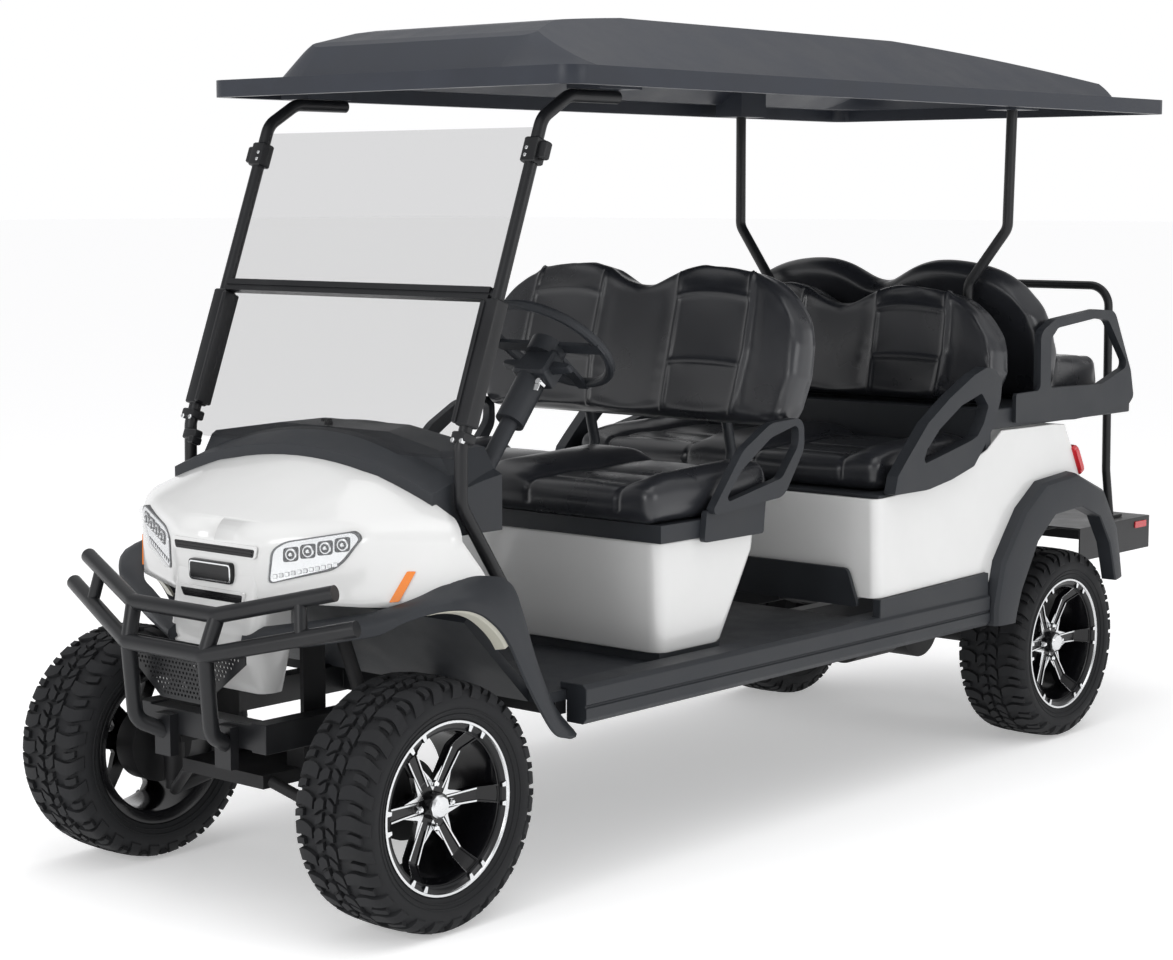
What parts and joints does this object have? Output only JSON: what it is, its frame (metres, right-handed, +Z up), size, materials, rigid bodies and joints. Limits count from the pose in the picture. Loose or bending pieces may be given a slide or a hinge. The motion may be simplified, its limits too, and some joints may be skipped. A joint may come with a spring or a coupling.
{
  "type": "golf cart",
  "caption": "Lifted open electric golf cart with two forward seat rows and a rear-facing row under a moulded roof, steerable and free rolling.",
  "frame": {"origin": "on the ground, at the middle of the overall length and width", "axes": "+X to the vehicle's left, -Y forward, +Z up"},
  "size_m": [1.3, 3.895, 2.135],
  "materials": {
    "body_white": "gloss painted",
    "black_plastic": "fine textured",
    "roof_plastic": "satin moulded",
    "frame_steel": "satin powder coat",
    "running_gear": "painted",
    "seat_vinyl": "semi-gloss vinyl",
    "screen_clear": "clear acrylic",
    "tyre_rubber": "matte",
    "rim_alloy": "gloss black with machined edges",
    "lamp_clear": "clear lens",
    "lamp_red": "gloss",
    "battery_case": "matte"
  },
  "bodies": {
    "chassis": {"front_suspension": "running_gear", "rear_axle": "running_gear", "drive_motor": "running_gear", "battery_pack": "battery_case", "frame_rails": "frame_steel", "floor_pan": "black_plastic", "rocker_panels": "black_plastic", "front_cowl": "body_white", "headlights": "lamp_clear", "nose_screen": "black_plastic", "dashboard": "black_plastic", "wheel_flares": "black_plastic", "brush_guard": "frame_steel", "roof_frame": "frame_steel", "windscreen": "screen_clear", "roof": "roof_plastic", "seat_pod": "body_white", "seat_pan": "black_plastic", "rear_cushion": "seat_vinyl", "front_backrest": "seat_vinyl", "middle_backrest": "seat_vinyl", "rear_backrest": "seat_vinyl", "front_restraints": "black_plastic", "middle_restraints": "black_plastic", "rear_restraints": "black_plastic", "rear_body": "body_white", "seat_deck": "black_plastic", "tail_lamps": "lamp_red", "footrest": "frame_steel", "grab_bar": "frame_steel", "steering_column": "black_plastic"},
    "left_knuckle": {"knuckle_left": "running_gear"},
    "right_knuckle": {"knuckle_right": "running_gear"},
    "steering_rack": {"tie_rods": "running_gear"},
    "steering_wheel": {"steering_wheel": "black_plastic"},
    "front_seat": {"front_cushion": "seat_vinyl"},
    "middle_seat": {"middle_cushion": "seat_vinyl"},
    "front_left_wheel": {"tyre_front_left": "tyre_rubber", "rim_front_left": "rim_alloy"},
    "front_right_wheel": {"tyre_front_right": "tyre_rubber", "rim_front_right": "rim_alloy"},
    "rear_left_wheel": {"tyre_rear_left": "tyre_rubber", "rim_rear_left": "rim_alloy"},
    "rear_right_wheel": {"tyre_rear_right": "tyre_rubber", "rim_rear_right": "rim_alloy"}
  },
  "joints": [
    {"name": "steer_left", "type": "hinge", "parent": "chassis", "child": "left_knuckle", "pos_m": [0.36, -1.6125, 0.292], "axis": [0, 0, 1], "range_deg": [-25, 25]},
    {"name": "steer_right", "type": "hinge", "parent": "chassis", "child": "right_knuckle", "pos_m": [-0.36, -1.6125, 0.292], "axis": [0, 0, 1], "range_deg": [-26, 26]},
    {"name": "rack_slide", "type": "slide", "parent": "chassis", "child": "steering_rack", "axis": [1, 0, 0], "range_m": [-0.05, 0.05]},
    {"name": "steering_turn", "type": "hinge", "parent": "chassis", "child": "steering_wheel", "pos_m": [0.28, -0.9075, 1.297], "axis": [0, 0.6293, 0.7771], "range_deg": [-305, 305]},
    {"name": "front_seat_lift", "type": "hinge", "parent": "chassis", "child": "front_seat", "pos_m": [0, -0.3125, 0.846], "axis": [-1, 0, 0], "range_deg": [0, 60]},
    {"name": "middle_seat_lift", "type": "hinge", "parent": "chassis", "child": "middle_seat", "pos_m": [0, 0.6375, 0.962], "axis": [-1, 0, 0], "range_deg": [0, 60]},
    {"name": "front_left_spin", "type": "hinge", "parent": "left_knuckle", "child": "front_left_wheel", "pos_m": [0.502, -1.6125, 0.292], "axis": [1, 0, 0], "continuous": true},
    {"name": "front_right_spin", "type": "hinge", "parent": "right_knuckle", "child": "front_right_wheel", "pos_m": [-0.502, -1.6125, 0.292], "axis": [1, 0, 0], "continuous": true},
    {"name": "rear_left_spin", "type": "hinge", "parent": "chassis", "child": "rear_left_wheel", "pos_m": [0.502, 1.1155, 0.292], "axis": [1, 0, 0], "continuous": true},
    {"name": "rear_right_spin", "type": "hinge", "parent": "chassis", "child": "rear_right_wheel", "pos_m": [-0.502, 1.1155, 0.292], "axis": [1, 0, 0], "continuous": true}
  ],
  "couplings": [
    {"joint": "steer_right", "follows": "steer_left", "ratio": 1},
    {"joint": "rack_slide", "follows": "steer_left", "m_per_rad": -0.109},
    {"joint": "steering_turn", "follows": "steer_left", "ratio": 12}
  ]
}
